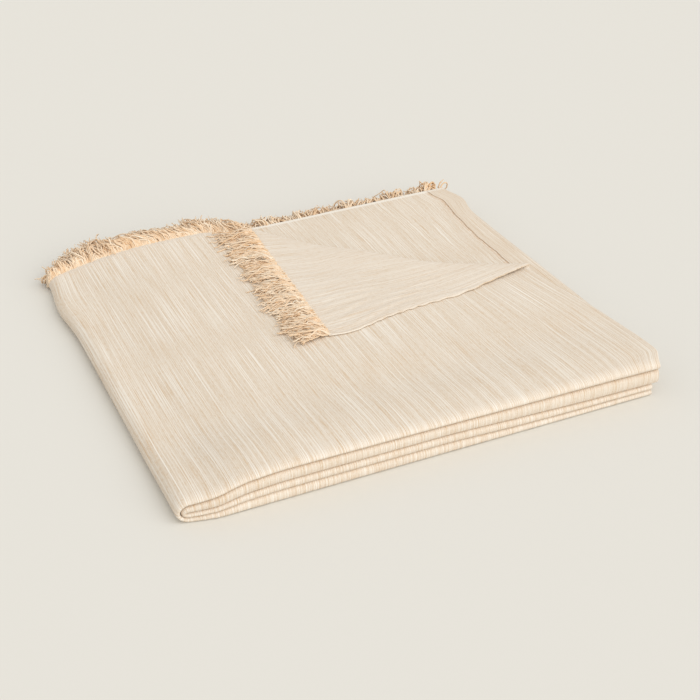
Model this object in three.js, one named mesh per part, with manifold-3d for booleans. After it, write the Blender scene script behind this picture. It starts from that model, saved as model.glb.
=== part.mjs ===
// A woven throw, folded back and forth into four along its length and then once across its width,
// with the right back corner of its top layer turned over and a cut fringe on both of its ends.
// Millimetres, +Z up and +Y to the back, where the fringed ends lie. X runs along the front folds.
import * as THREE from 'three';
import Module from 'manifold-3d';

const wasm = await Module();
wasm.setup();

// The cloth and its fringe
const CLOTH = 2.4; // thickness of the cloth
const STRAND_LENGTH = 50;
const UNEVEN_LENGTH = 0.08; // how much longer or shorter a strand may be, as a share
const STRAND = 1.9; // width of a strand at its root
const STRAND_RISE = 0.75; // height of a strand over its flat side, as a share of its width
const STRAND_SUNK = 0.35; // how far that side lies below the middle of the cloth, as a share
const STRIP = 4; // width of the strip that holds the roots
const STRIP_SHARE = 0.85; // its thickness, as a share of the cloth's
const STRIP_GAP = 0.4; // between that strip and the edge of the cloth
const STRIP_TRIM = 2; // how far it stops short at each end
const ROOT_AT = 0.4; // where a strand starts on the strip, as a share of the strip's width
const STRAND_ROWS = [
  { share: 0, width: 1, sway: 0 },
  { share: 0.5, width: 0.8, sway: 0.9 },
  { share: 1, width: 0.45, sway: 1.1 },
];
const ON_FLOOR = 3; // a strand whose root is lower than this lies on the surface
const STEEP = 0.5; // rise of an edge past which its strands stand on their sides
const CLOTH_COLOUR = 0xe8d6bf;
const FRINGE_COLOUR = 0xe0c7a9;
const ROUGHNESS = 0.95;

// The folded pack, seen from above
const RIGHT = 328; // the selvedges of the upper four layers
const RIGHT_LOWER = 320; // the selvedges of the lower four, which lie a little short
const LEFT_AXIS = -310; // the line about which the pack is folded across its width
const FRONT = -290; // the noses of the front folds
const BACK_FOLD = 304; // the nose of the back folds
const FIRST_END = 308; // the fringed end of the outermost layer
const SECOND_END = 298; // the fringed end of the innermost layer

// The folds
const LAYER = 5.9; // pitch of the eight layers
const OUTER = 3.5 * LAYER; // height of the outermost layers over the middle of the pack
const LEFT_END = -330; // about where the left fold ends
const FRONT_SLOPE = -0.015; // of the front edge, which lies a little askew
const FRONT_CORNER = { drawnIn: 10, reach: 60 }; // the left front corner is drawn in
const BACK_CORNER = { drawnIn: -8, reach: 50 }; // and so is the left back corner
const LEFT_BULGE = { depth: 7, y: 228, spread: 52, reach: 70 }; // of the left fold near the back
const RIGHT_BULGE = { depth: 11, y: 252, spread: 30, reach: 110 }; // of the selvedges near the back
const RIGHT_CORNER = { drawnIn: 14, reach: 90, depth: 32 }; // the right front corner is rounded
const NOSE = 6; // depth of a fold's nose, along the middle of the cloth
const SWELL = 1; // how much further each layer of a fold stands off at its nose
const SWELL_REACH = 26; // how far from the nose that fades
const LEFT_DEPTH = 0.7; // depth of the left fold's nose for each unit of its height

// Thickness of the settled pack from left to right, as a share of that of the even one
const THICKNESS = [
  { x: -325, share: 0.58 },
  { x: -285, share: 0.66 },
  { x: -240, share: 0.84 },
  { x: -190, share: 0.95 },
  { x: -60, share: 1 },
];
const THICKNESS_AT_BACK = 0.96;
const THINNER_FROM = -60; // where it starts to thin towards the back
const WAVE = { height: 1.4, x: 74, xShift: 0.6, y: 105, yShift: -0.4 }; // the soft waves on top

// Heights of the creases between the front folds, and of the top, along the front edge
const CREASES = [
  { x: -325, third: 5.5, second: 11.5, first: 18.5, top: 28.5 },
  { x: -285, third: 8, second: 15, first: 27, top: 36 },
  { x: -240, third: 13, second: 23, first: 38, top: 47.5 },
  { x: -190, third: 14.5, second: 25.5, first: 41, top: 51 },
  { x: 0, third: 14, second: 25.5, first: 40, top: 50.5 },
  { x: 110, third: 10, second: 21.5, first: 38.5, top: 50 },
  { x: 220, third: 8.5, second: 17.5, first: 37.5, top: 50 },
  { x: 330, third: 8.5, second: 16, first: 36, top: 49 },
];
const CREASE_REACH = 95; // how far back from the noses these heights fade out
const BEAD = { flatTo: 28, reach: 88 }; // the top keeps its height, and is down, this far from them

// The shallow trough across the pack behind its front, deepest in the middle
const TROUGH = { depth: 2.2, y: -200, spread: 30, x: 10, width: 160, ends: 0.55 };

// The corner turned over: the crest of its bend from the fringed end to the selvedge, and its tip
const CREST = [
  { x: -16, y: 277 },
  { x: 51, y: 186 },
  { x: 96, y: 147 },
  { x: 178, y: 67 },
  { x: 274, y: 17 },
  { x: 306, y: 4 },
];
const TIP = { x: -36, y: -52 };
const TURN_RADIUS = 3.6; // of the bend, along the middle of the cloth
const TURNED_LIFT = CLOTH + 0.8; // of the turned cloth over the layer below it
const DRAWN_REACH = 240; // how far in front of the crest the selvedge starts to draw in
const SETTLE = 0.35; // share of the corner's depth over which it comes down to that
const SELVEDGE_DROP = [
  { depth: 0, drop: 0 },
  { depth: 0.2, drop: 4 },
  { depth: 0.38, drop: 9 },
  { depth: 0.57, drop: 5 },
  { depth: 0.74, drop: 3 },
  { depth: 0.9, drop: 8 },
  { depth: 1, drop: 0 },
]; // how far to the front the turned selvedge wanders, by its depth from the crest to the tip
const BACK_TO_END = 0.25; // share of the uncovered width over which the top edge meets the fringed end

// How many steps the cloth's grid takes
const CREST_STEPS = 9;
const UPPER_STEPS = 7;
const FOLD_STEPS = 6;
const LEFT_STEPS = 8;
const LOWER_STEPS = 7;
const LAYER_ROWS = [
  [0, 0.18, 0.36, 0.54, 0.7, 0.82, 0.9, 0.95, 0.98, 1],
  [0, 0.02, 0.05, 0.1, 0.18, 0.3, 0.46, 0.62, 0.76, 0.88, 0.95, 1],
  [0, 0.05, 0.12, 0.24, 0.38, 0.54, 0.7, 0.82, 0.9, 0.95, 0.98, 1],
  [0, 0.02, 0.05, 0.1, 0.18, 0.3, 0.46, 0.64, 0.82, 1],
];
const CORNER_ROWS = [0.08, 0.2, 0.38, 0.57, 0.74, 0.9];

const { lerp, smoothstep } = THREE.MathUtils;

// Reads one column of a table at a place between its rows.
function lookUp(table, key, at, column) {
  const next = table.findIndex((row) => row[key] >= at);
  if (next === 0) return table[0][column];
  if (next < 0) return table[table.length - 1][column];
  const [low, high] = [table[next - 1], table[next]];
  return lerp(low[column], high[column], (at - low[key]) / (high[key] - low[key]));
}

// The same uneven numbers from -1 to 1 each time.
function uneven(index, salt) {
  const value = Math.sin(index * 12.9898 + salt * 78.233) * 43758.5453;
  return 2 * (value - Math.floor(value)) - 1;
}

const FRONT_CENTRE = FRONT + CLOTH / 2 + NOSE;
const BACK_CENTRE = BACK_FOLD - CLOTH / 2 - NOSE;
const CREST_FIRST = CREST[0];
const CREST_LAST = CREST[CREST.length - 1];
const OUTWARD = new THREE.Vector2(CREST_FIRST.y - CREST_LAST.y, CREST_LAST.x - CREST_FIRST.x).normalize();

// A hump of height 1 at its middle.
const hump = (at, middle, spread) => Math.exp(-(((at - middle) / spread) ** 2));

const swell = (fromNose) => SWELL * hump(Math.max(fromNose, 0), 0, SWELL_REACH);

// Half the cloth's thickness: it is pressed thinner where the pack is thin.
const halfCloth = (x) => (CLOTH / 2) * lookUp(THICKNESS, 'x', x, 'share');

// How far back the cloth lies at this x: the front runs askew, and both left corners are drawn in.
function skew(x, y) {
  const drawn = ({ drawnIn, reach }) => drawnIn * (1 - smoothstep(x, LEFT_END, LEFT_END + reach));
  return lerp(drawn(FRONT_CORNER) + FRONT_SLOPE * x, drawn(BACK_CORNER), smoothstep(y, FRONT, FIRST_END));
}

// How far to the right the cloth lies: both sides bulge out near the back, and the front right corner
// is rounded.
function sideways(x, y) {
  const atLeft = 1 - smoothstep(x, LEFT_END, LEFT_END + LEFT_BULGE.reach);
  const atRight = smoothstep(x, RIGHT - RIGHT_BULGE.reach, RIGHT);
  const atCorner = smoothstep(x, RIGHT - RIGHT_CORNER.reach, RIGHT);
  const rounded = RIGHT_CORNER.drawnIn * (1 - smoothstep(y, FRONT, FRONT + RIGHT_CORNER.depth));
  const left = LEFT_BULGE.depth * hump(y, LEFT_BULGE.y, LEFT_BULGE.spread);
  const right = RIGHT_BULGE.depth * hump(y, RIGHT_BULGE.y, RIGHT_BULGE.spread);
  return atRight * right - atLeft * left - atCorner * rounded;
}

// The settled height of the middle of the cloth, from its rise over the bottom layer of the even pack.
function settle(x, y, rise) {
  const spread = swell(y - FRONT_CENTRE);
  const full = 2 * (OUTER + spread);
  const share = lookUp(THICKNESS, 'x', x, 'share');
  const thinner = lerp(1, THICKNESS_AT_BACK, smoothstep(y, THINNER_FROM, FIRST_END));
  const wave = WAVE.height * Math.sin(x / WAVE.x + WAVE.xShift) * Math.cos(y / WAVE.y + WAVE.yShift);
  const deeper = lerp(TROUGH.ends, 1, hump(x, TROUGH.x, TROUGH.width));
  const trough = TROUGH.depth * share * deeper * hump(y, TROUGH.y, TROUGH.spread);
  const inner = rise * (share * thinner + (wave - trough) / full);
  const crease = (fold) => spread + LAYER * (1.5 + 2 * fold);
  const edge = [
    { rise: 0, height: 0 },
    { rise: crease(0), height: lookUp(CREASES, 'x', x, 'third') },
    { rise: crease(1), height: lookUp(CREASES, 'x', x, 'second') },
    { rise: crease(2), height: lookUp(CREASES, 'x', x, 'first') },
    { rise: full, height: lookUp(CREASES, 'x', x, 'top') - CLOTH },
  ];
  const onTop = smoothstep(rise / full, 6 / 7, 1);
  const [flatTo, reach] = [lerp(0, BEAD.flatTo, onTop), lerp(CREASE_REACH, BEAD.reach, onTop)];
  const atEdge = 1 - smoothstep(y, FRONT + flatTo, FRONT + reach);
  return halfCloth(x) + lerp(inner, lookUp(edge, 'rise', rise, 'height'), atEdge);
}

// The crest of the turned corner, from the selvedge (0) to the fringed end (1).
function crestPoint(share) {
  const x = lerp(CREST_LAST.x, CREST_FIRST.x, share);
  return new THREE.Vector2(x, lookUp(CREST, 'x', x, 'y'));
}

// The columns of the cloth's grid run along its length. They lie in the upper half of the pack, first
// under the turned corner and then beside it, round the left fold, and in the lower half.
function clothColumns() {
  const columns = [];
  for (let i = 0; i <= CREST_STEPS; i += 1) columns.push({ crest: i / CREST_STEPS });
  for (let i = 1; i <= UPPER_STEPS; i += 1) columns.push({ upper: i / UPPER_STEPS });
  for (let i = 1; i < LEFT_STEPS; i += 1) columns.push({ turn: (Math.PI * i) / LEFT_STEPS });
  for (let i = 0; i <= LOWER_STEPS; i += 1) columns.push({ lower: i / LOWER_STEPS });
  return columns;
}

// The rows of the grid run across the cloth, from its first end, along four layers and three folds.
function clothRows() {
  const rows = [];
  LAYER_ROWS.forEach((shares, layer) => {
    shares.forEach((share) => rows.push({ layer, share }));
    if (layer === LAYER_ROWS.length - 1) return;
    for (let i = 1; i < FOLD_STEPS; i += 1) rows.push({ fold: layer, angle: (Math.PI * i) / FOLD_STEPS });
  });
  return rows;
}

// Where the outermost layer starts in a column: at the crest of the turned corner or at its fringed end.
function layerStart(column) {
  if (column.crest !== undefined) return crestPoint(column.crest).y - TURN_RADIUS * OUTWARD.y;
  if (column.upper === undefined) return FIRST_END;
  const crestEnd = CREST_FIRST.y - TURN_RADIUS * OUTWARD.y;
  return lerp(crestEnd, FIRST_END, smoothstep(column.upper, 0, BACK_TO_END));
}

// A point of the folded section: its y, and its height over the middle of the pack's two halves.
function sectionPoint(column, row) {
  if (row.fold !== undefined) {
    const depth = NOSE * Math.sin(row.angle);
    const y = row.fold % 2 === 0 ? FRONT_CENTRE - depth : BACK_CENTRE + depth;
    return { y, height: (3 - row.fold) * LAYER + (LAYER / 2 + SWELL) * Math.cos(row.angle) };
  }
  const ends = [layerStart(column), FRONT_CENTRE, BACK_CENTRE, FRONT_CENTRE, SECOND_END];
  const y = lerp(ends[row.layer], ends[row.layer + 1], row.share);
  const front = swell(y - FRONT_CENTRE) * (row.layer % 2 === 0 ? 1 : -1);
  const back = swell(BACK_CENTRE - y) * [0, 1, -1, 0][row.layer];
  return { y, height: OUTER - row.layer * LAYER + front + back };
}

// The x of a column of the upper half. The outermost selvedge draws in towards the crest.
function upperX(column, layer, y) {
  if (column.upper !== undefined) return lerp(CREST_FIRST.x, LEFT_AXIS, column.upper);
  const even = lerp(RIGHT, CREST_FIRST.x, column.crest);
  if (layer !== 0) return even;
  const crest = crestPoint(column.crest);
  const start = crest.x - TURN_RADIUS * OUTWARD.x;
  const drawnIn = smoothstep(y, FRONT, crest.y) * smoothstep(y, crest.y - DRAWN_REACH, crest.y);
  return lerp(even, start, drawnIn);
}

// A point of the even folded pack once it has settled. Height counts from the middle of its two halves.
function packPoint(x, y, height) {
  const rise = Math.max(height + OUTER + swell(y - FRONT_CENTRE), 0);
  return new THREE.Vector3(x + sideways(x, y), y + skew(x, y), settle(x, y, rise));
}

// A point of the middle of the cloth.
function clothPoint(column, row) {
  const { y, height } = sectionPoint(column, row);
  if (column.turn !== undefined) {
    const x = LEFT_AXIS - LEFT_DEPTH * height * Math.sin(column.turn);
    return packPoint(x, y, height * Math.cos(column.turn));
  }
  if (column.lower !== undefined) return packPoint(lerp(LEFT_AXIS, RIGHT_LOWER, column.lower), y, -height);
  return packPoint(upperX(column, row.layer ?? row.fold + 1, y), y, height);
}

// A point over the outermost layer, at this lift from the middle of its cloth.
function overTop(x, y, lift) {
  const point = packPoint(x, y, OUTER + swell(y - FRONT_CENTRE));
  return point.setZ(point.z + lift);
}

// A point of the turned corner, from its selvedge (0) to its fringed end (1): round the bend by this
// angle, and then on the turned cloth from the crest (0) to the tip (1).
function cornerPoint(share, angle, depth) {
  const chord = crestPoint(0).lerp(crestPoint(1), share);
  const bow = crestPoint(share).sub(chord).multiplyScalar((1 - depth) ** 2);
  const place = chord.addScaledVector(OUTWARD, -TURN_RADIUS).lerp(new THREE.Vector2(TIP.x, TIP.y), depth);
  place.add(bow).addScaledVector(OUTWARD, TURN_RADIUS * Math.sin(angle));
  place.y -= lookUp(SELVEDGE_DROP, 'depth', depth, 'drop') * (1 - share) ** 2;
  const bend = TURN_RADIUS * (1 - Math.cos(angle));
  return overTop(place.x, place.y, lerp(bend, TURNED_LIFT, smoothstep(depth, 0, SETTLE)));
}

// The whole cloth as a surface in its middle: the grid of the folded pack, and the turned corner that
// carries on from its first row. The edges are those that a fringe hangs from, each with the point inside.
function clothSurface() {
  const columns = clothColumns();
  const rows = clothRows();
  const points = rows.flatMap((row) => columns.map((column) => clothPoint(column, row)));
  const faces = [];
  const quad = (a, b, c, d) => faces.push([a, b, c], [a, c, d]);
  const at = (row, column) => row * columns.length + column;
  for (let r = 1; r < rows.length; r += 1) {
    for (let c = 1; c < columns.length; c += 1) quad(at(r - 1, c - 1), at(r - 1, c), at(r, c), at(r, c - 1));
  }
  const steps = [];
  for (let i = 1; i <= FOLD_STEPS; i += 1) steps.push([(Math.PI * i) / FOLD_STEPS, 0]);
  CORNER_ROWS.forEach((depth) => steps.push([Math.PI, depth]));
  const corner = [];
  let before = columns.slice(0, CREST_STEPS + 1).map((_, c) => at(0, c));
  for (const [angle, depth] of steps) {
    const line = before.map((_, c) => points.push(cornerPoint(c / CREST_STEPS, angle, depth)) - 1);
    for (let c = 1; c < line.length; c += 1) quad(line[c - 1], line[c], before[c], before[c - 1]);
    if (angle === Math.PI) corner.push({ edge: line[CREST_STEPS], inside: line[CREST_STEPS - 1] });
    before = line;
  }
  const tip = points.push(cornerPoint(1, Math.PI, 1)) - 1;
  for (let c = 1; c < before.length; c += 1) faces.push([tip, before[c], before[c - 1]]);
  corner.push({ edge: tip, inside: before[0] });
  const first = columns.map((_, c) => ({ edge: at(0, c), inside: at(1, c) }));
  const second = columns.map((_, c) => ({ edge: at(rows.length - 1, c), inside: at(rows.length - 2, c) }));
  const middle = CREST_STEPS + UPPER_STEPS + LEFT_STEPS / 2;
  const top = first.slice(CREST_STEPS, middle + 1);
  return { points, faces, edges: { corner, top, bottom: first.slice(middle + 1), inner: second } };
}

// The normals of a surface at its points, and its boundary edges.
function normalsAndRim(points, faces) {
  const normals = points.map(() => new THREE.Vector3());
  const rim = new Map();
  for (const [a, b, c] of faces) {
    const normal = points[b].clone().sub(points[a]).cross(points[c].clone().sub(points[a]));
    [a, b, c].forEach((corner) => normals[corner].add(normal));
    for (const [from, to] of [[a, b], [b, c], [c, a]]) {
      if (!rim.delete(`${to},${from}`)) rim.set(`${from},${to}`, [from, to]);
    }
  }
  normals.forEach((normal) => normal.normalize());
  return { normals, rim: [...rim.values()] };
}

// A geometry of these points (Vector3) and triangles.
function geometryOf(points, triangles) {
  const geometry = new THREE.BufferGeometry();
  geometry.setAttribute('position', new THREE.Float32BufferAttribute(points.flatMap((p) => p.toArray()), 3));
  geometry.setIndex(triangles.flat());
  return geometry;
}

// One closed body of a surface: a copy of it half a thickness to each side, and a rim between them.
function thickened(points, faces, normals, rim) {
  const count = points.length;
  const side = (sign) => points.map((p, i) => p.clone().addScaledVector(normals[i], sign * halfCloth(p.x)));
  const under = faces.map(([a, b, c]) => [a + count, c + count, b + count]);
  const edge = rim.flatMap(([from, to]) => [[to, from, from + count], [to, from + count, to + count]]);
  return geometryOf([...side(1), ...side(-1)], [...faces, ...under, ...edge]);
}

// A solid of sections, each a ring of the same number of points, from one end to the other.
function loftedSolid(sections) {
  const size = sections[0].length;
  const last = (sections.length - 1) * size;
  const triangles = [];
  for (let s = 1; s < sections.length; s += 1) {
    for (let i = 0; i < size; i += 1) {
      const [a, b] = [(s - 1) * size + i, (s - 1) * size + ((i + 1) % size)];
      triangles.push([a, b, b + size], [a, b + size, a + size]);
    }
  }
  for (let i = 2; i < size; i += 1) triangles.push([0, i, i - 1], [last, last + i - 1, last + i]);
  const vertProperties = new Float32Array(sections.flat().flatMap((point) => point.toArray()));
  const solidWith = (order) => {
    const triVerts = new Uint32Array(triangles.flatMap(order));
    return new wasm.Manifold(new wasm.Mesh({ numProp: 3, vertProperties, triVerts }));
  };
  const solid = solidWith((triangle) => triangle);
  return solid.volume() > 0 ? solid : solidWith(([a, b, c]) => [a, c, b]);
}

// Places along an edge of the cloth: the direction along it, off it, and off the cloth's face.
function edgeFrames(cloth, edge) {
  let distance = 0;
  return edge.map(({ edge: id, inside }, i) => {
    const place = cloth.points[id];
    const before = cloth.points[edge[Math.max(i - 1, 0)].edge];
    const after = cloth.points[edge[Math.min(i + 1, edge.length - 1)].edge];
    distance += place.distanceTo(before);
    const along = after.clone().sub(before).normalize();
    const off = place.clone().sub(cloth.points[inside]);
    off.addScaledVector(along, -off.dot(along)).normalize();
    return { place, along, off, face: off.clone().cross(along).normalize(), distance };
  });
}

// The frame at a distance along an edge, between those of its points.
function frameAt(frames, distance) {
  const next = Math.max(frames.findIndex((frame) => frame.distance >= distance), 1);
  const [low, high] = [frames[next - 1], frames[next]];
  const share = (distance - low.distance) / (high.distance - low.distance);
  const between = (key) => low[key].clone().lerp(high[key], share);
  return {
    distance,
    place: between('place'),
    along: between('along').normalize(),
    off: between('off').normalize(),
    face: between('face').normalize(),
  };
}

// The narrow strip that holds the roots, parted from the cloth's edge.
function stripSolid(frames) {
  const length = frames[frames.length - 1].distance;
  const fromEnd = ({ distance }) => Math.min(distance, length - distance);
  const inner = frames.filter((frame) => fromEnd(frame) > 2 * STRIP_TRIM);
  const stations = [frameAt(frames, STRIP_TRIM), ...inner, frameAt(frames, length - STRIP_TRIM)];
  const sections = stations.map(({ place, off, face }) => {
    const half = STRIP_SHARE * halfCloth(place.x);
    const corner = (out, up) => place.clone().addScaledVector(off, out).addScaledVector(face, up);
    const far = STRIP_GAP + STRIP;
    return [corner(STRIP_GAP, half), corner(STRIP_GAP, -half), corner(far, -half), corner(far, half)];
  });
  return loftedSolid(sections);
}

// One strand: a three-sided lock from its root in the strip to its tip, flat underneath.
function strandSolid(frame, index, length, heightAt) {
  const across = frame.along.clone();
  const up = new THREE.Vector3(0, 0, 1);
  const strand = STRAND * lookUp(THICKNESS, 'x', frame.place.x, 'share');
  if (Math.abs(across.z) > STEEP) up.copy(frame.face).setZ(0).normalize();
  const root = frame.place.clone().addScaledVector(frame.off, STRIP_GAP + ROOT_AT * STRIP);
  const sections = STRAND_ROWS.map(({ share, width, sway }) => {
    const middle = root.clone().addScaledVector(frame.off, share * length);
    middle.addScaledVector(across, sway * uneven(index, share + 1));
    middle.z = heightAt(middle, share, root.z - STRAND_SUNK * strand);
    const foot = (side) => middle.clone().addScaledVector(across, (side * width * strand) / 2);
    return [foot(-1), foot(1), middle.clone().addScaledVector(up, STRAND_RISE * width * strand)];
  });
  return loftedSolid(sections);
}

// A fringe: its strip with all its strands fused in.
function fringe(cloth, edge, { strands, heightAt }, salt) {
  const frames = edgeFrames(cloth, edge);
  const length = frames[frames.length - 1].distance - 2 * STRIP_TRIM;
  const parts = [stripSolid(frames)];
  for (let i = 0; i < strands; i += 1) {
    const frame = frameAt(frames, STRIP_TRIM + (length * (i + 0.5)) / strands);
    const strandLength = STRAND_LENGTH * (1 + UNEVEN_LENGTH * uneven(i + salt, 5));
    parts.push(strandSolid(frame, i + salt, strandLength, heightAt));
  }
  const mesh = wasm.Manifold.union(parts).getMesh();
  const geometry = new THREE.BufferGeometry();
  geometry.setAttribute('position', new THREE.Float32BufferAttribute(mesh.vertProperties, 3));
  geometry.setIndex([...mesh.triVerts]);
  return geometry;
}

// How the strands of each fringe lie: how many there are, and the height of their flat side on the way
// from root to tip. Those of the lowest layer come down to the surface and rest level on it.
const droop = (depth) => (point, share, root) => root - depth * share ** 1.5;
const ontoFloor = (point, share, root) => {
  const drop = root > ON_FLOOR ? share / 2 : Math.min(2 * share, 1);
  return root * (1 - drop);
};
const overPack = (point, share, root) => {
  const lying = overTop(point.x, point.y, TURNED_LIFT - STRAND_SUNK * STRAND).z;
  return lerp(root, lying, Math.min(2 * share, 1));
};
const FRINGES = {
  corner: { name: 'fringe_turned_corner', strands: 62, heightAt: overPack },
  top: { name: 'fringe_top_layer', strands: 54, heightAt: droop(7) },
  inner: { name: 'fringe_inner_layers', strands: 72, heightAt: droop(8) },
  bottom: { name: 'fringe_bottom_layer', strands: 60, heightAt: ontoFloor },
};

// The whole throw, with its origin under the middle of its box.
function wovenThrow() {
  const group = new THREE.Group();
  const cloth = clothSurface();
  const { normals, rim } = normalsAndRim(cloth.points, cloth.faces);
  const add = (name, geometry, color) => {
    const material = new THREE.MeshStandardMaterial({ color, roughness: ROUGHNESS, metalness: 0 });
    const mesh = new THREE.Mesh(geometry, material);
    mesh.name = name;
    group.add(mesh);
  };
  add('cloth', thickened(cloth.points, cloth.faces, normals, rim), CLOTH_COLOUR);
  Object.entries(FRINGES).forEach(([key, lie], i) => {
    add(lie.name, fringe(cloth, cloth.edges[key], lie, 100 * i), FRINGE_COLOUR);
  });
  const box = new THREE.Box3().setFromObject(group);
  const middle = box.getCenter(new THREE.Vector3());
  group.position.set(-middle.x, -middle.y, 0);
  return group;
}

export default wovenThrow();
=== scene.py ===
"""A woven throw, folded into a flat pack of eight layers, with a corner turned over and a cut fringe.

The cloth is one closed sheet that follows every fold of its flat cut, and each fringe is a joined
mesh of curly yarns. Lengths are in metres. The pack frame has its origin under the middle of the
folded body, with +Z up, +Y to the back and +X along the front folds.
"""

from __future__ import annotations

import logging
import math
from collections.abc import Mapping
from dataclasses import dataclass, field
from enum import Enum

import bpy
import numpy as np
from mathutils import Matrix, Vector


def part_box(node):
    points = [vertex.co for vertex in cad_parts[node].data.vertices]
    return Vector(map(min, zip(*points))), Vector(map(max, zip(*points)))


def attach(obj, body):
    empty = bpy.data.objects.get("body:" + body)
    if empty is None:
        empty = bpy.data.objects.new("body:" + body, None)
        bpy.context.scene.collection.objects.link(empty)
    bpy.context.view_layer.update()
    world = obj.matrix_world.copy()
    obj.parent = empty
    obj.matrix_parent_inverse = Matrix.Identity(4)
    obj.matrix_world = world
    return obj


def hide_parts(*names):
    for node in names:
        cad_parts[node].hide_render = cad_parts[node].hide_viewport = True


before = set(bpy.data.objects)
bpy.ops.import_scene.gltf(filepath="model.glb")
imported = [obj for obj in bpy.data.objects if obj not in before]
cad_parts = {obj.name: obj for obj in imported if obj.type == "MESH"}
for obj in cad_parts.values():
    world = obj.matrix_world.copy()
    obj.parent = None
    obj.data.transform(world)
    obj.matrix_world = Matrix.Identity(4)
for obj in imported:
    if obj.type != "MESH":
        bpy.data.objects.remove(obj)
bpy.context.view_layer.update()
LOG = logging.getLogger("throw")
Array = np.ndarray


def lerp(low: Array | float, high: Array | float, share: Array | float) -> Array | float:
    """The value at this share of the way from low to high."""
    return low + (high - low) * share


def smoothstep(at: Array | float, low: float, high: float) -> Array | float:
    """0 below low, 1 above high and 3t^2 - 2t^3 between them."""
    t = np.clip((at - low) / (high - low), 0, 1)
    return t * t * (3 - 2 * t)


def bell(at: Array | float, middle: float, reach: float) -> Array | float:
    """A hump of height 1: e to the minus square of the distance from the middle over the reach."""
    return np.exp(-(((at - middle) / reach) ** 2))


def unit(vectors: Array) -> Array:
    """The vectors in the last axis, each at length 1."""
    return vectors / np.maximum(np.linalg.norm(vectors, axis=-1, keepdims=True), 1e-12)


@dataclass(frozen=True)
class Table:
    """A short table: places in rising order, and the value at each."""

    places: tuple[float, ...]
    values: tuple[float, ...]

    def at(self, where: Array | float) -> Array:
        """Reads the table smoothly.

        Between two rows the curve is a cubic. Its slope at a row is the harmonic mean of the slopes
        on both sides, or level where they differ in sign, so it never runs past the rows' values.

        Args:
            where: places to read it at.

        Returns:
            The values there, of the same shape.
        """
        places, values = np.array(self.places), np.array(self.values)
        where = np.clip(where, places[0], places[-1])
        steps = np.diff(places)
        slopes = np.diff(values) / steps
        before, after = slopes[:-1], slopes[1:]
        same = before * after > 0
        inner = np.where(same, 2 * before * after / np.where(same, before + after, 1), 0)
        tangents = np.concatenate([slopes[:1], inner, slopes[-1:]])
        low = np.clip(np.searchsorted(places, where) - 1, 0, len(steps) - 1)
        t = (where - places[low]) / steps[low]
        rise = values[low + 1] - values[low]
        start, end = tangents[low] * steps[low], tangents[low + 1] * steps[low]
        return values[low] + t * (start + t * (3 * rise - 2 * start - end + t * (start + end - 2 * rise)))


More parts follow.
